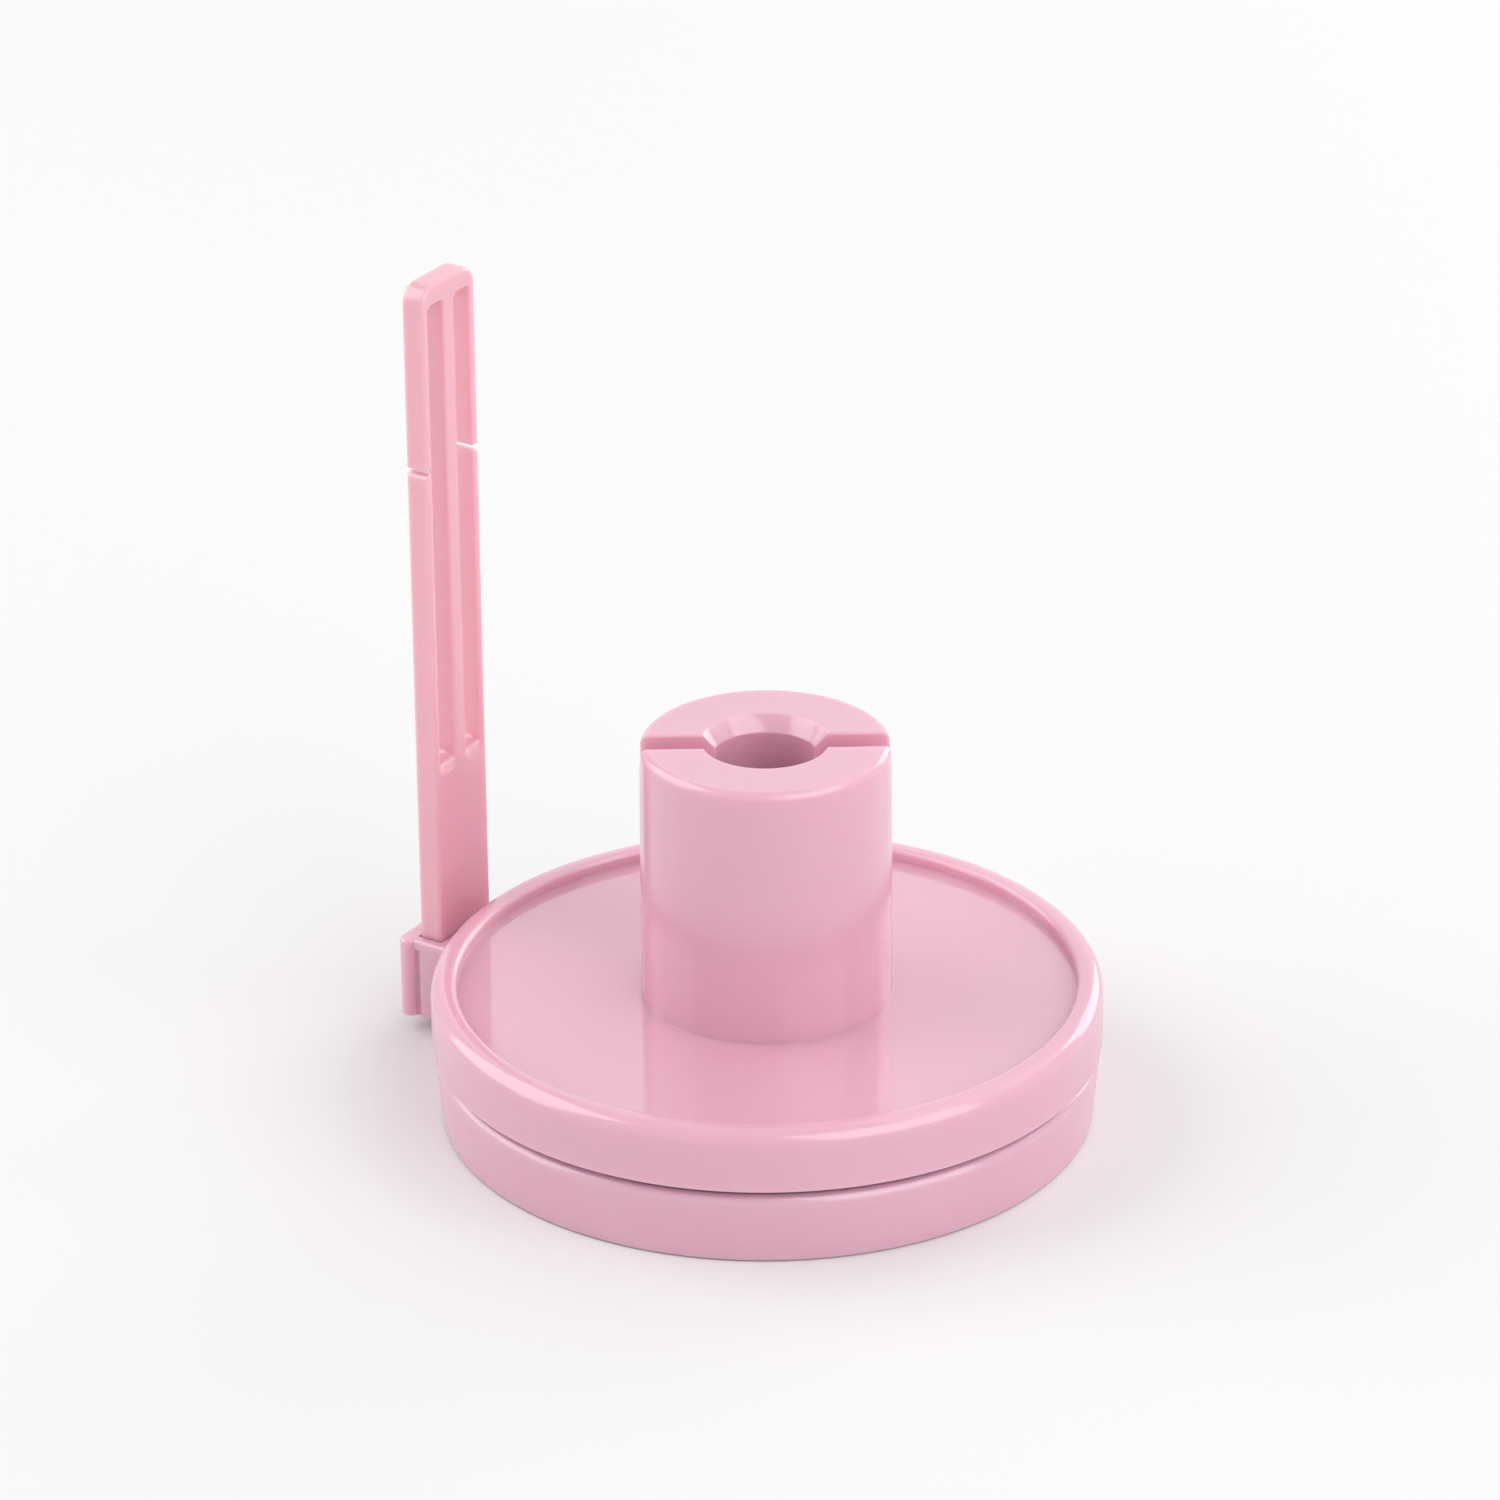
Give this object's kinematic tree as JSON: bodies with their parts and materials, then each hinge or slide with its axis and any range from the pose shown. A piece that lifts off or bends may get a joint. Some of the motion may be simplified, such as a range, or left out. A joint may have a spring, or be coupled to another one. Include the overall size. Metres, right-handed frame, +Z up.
{
  "type": "thread dispenser",
  "caption": "Spool turntable with a hollow slotted post, spinning on a ball bearing in a round base, beside an upright thread arm with two long slots that plugs into the base.",
  "frame": {"origin": "centre of the underside of the foot pad, on the turntable's axis", "axes": "+Z up along the turntable's axis, the thread arm stands on the -X side"},
  "size_m": [0.0778, 0.07, 0.0851],
  "materials": {
    "pink_plastic": "glossy, injection moulded",
    "bearing_steel": "ground",
    "cage_nylon": "matte",
    "pad_rubber": "matte"
  },
  "bodies": {
    "base": {"base_shell": "pink_plastic", "base_cover": "pink_plastic", "cover_screw_1": "bearing_steel", "cover_screw_2": "bearing_steel", "cover_screw_3": "bearing_steel", "foot_pad": "pad_rubber", "bearing_outer_ring": "bearing_steel", "bearing_shield_upper": "bearing_steel", "bearing_shield_lower": "bearing_steel"},
    "spinner": {"turntable": "pink_plastic", "bearing_inner_ring": "bearing_steel", "hub_washer": "bearing_steel", "hub_screw": "bearing_steel"},
    "ball_cage": {"bearing_cage": "cage_nylon", "bearing_ball_1": "bearing_steel", "bearing_ball_2": "bearing_steel", "bearing_ball_3": "bearing_steel", "bearing_ball_4": "bearing_steel", "bearing_ball_5": "bearing_steel", "bearing_ball_6": "bearing_steel", "bearing_ball_7": "bearing_steel"},
    "thread_arm": {"guide_arm": "pink_plastic"}
  },
  "joints": [
    {"name": "turntable_spin", "type": "hinge", "parent": "base", "child": "spinner", "pos_m": [0, 0, 0.0075], "axis": [0, 0, 1], "continuous": true},
    {"name": "cage_spin", "type": "hinge", "parent": "base", "child": "ball_cage", "pos_m": [0, 0, 0.0075], "axis": [0, 0, 1], "continuous": true},
    {"name": "arm_pull", "type": "slide", "parent": "base", "child": "thread_arm", "axis": [0, 0, 1], "range_m": [0, 0.01]}
  ],
  "couplings": [
    {"joint": "cage_spin", "follows": "turntable_spin", "ratio": 0.3677}
  ]
}
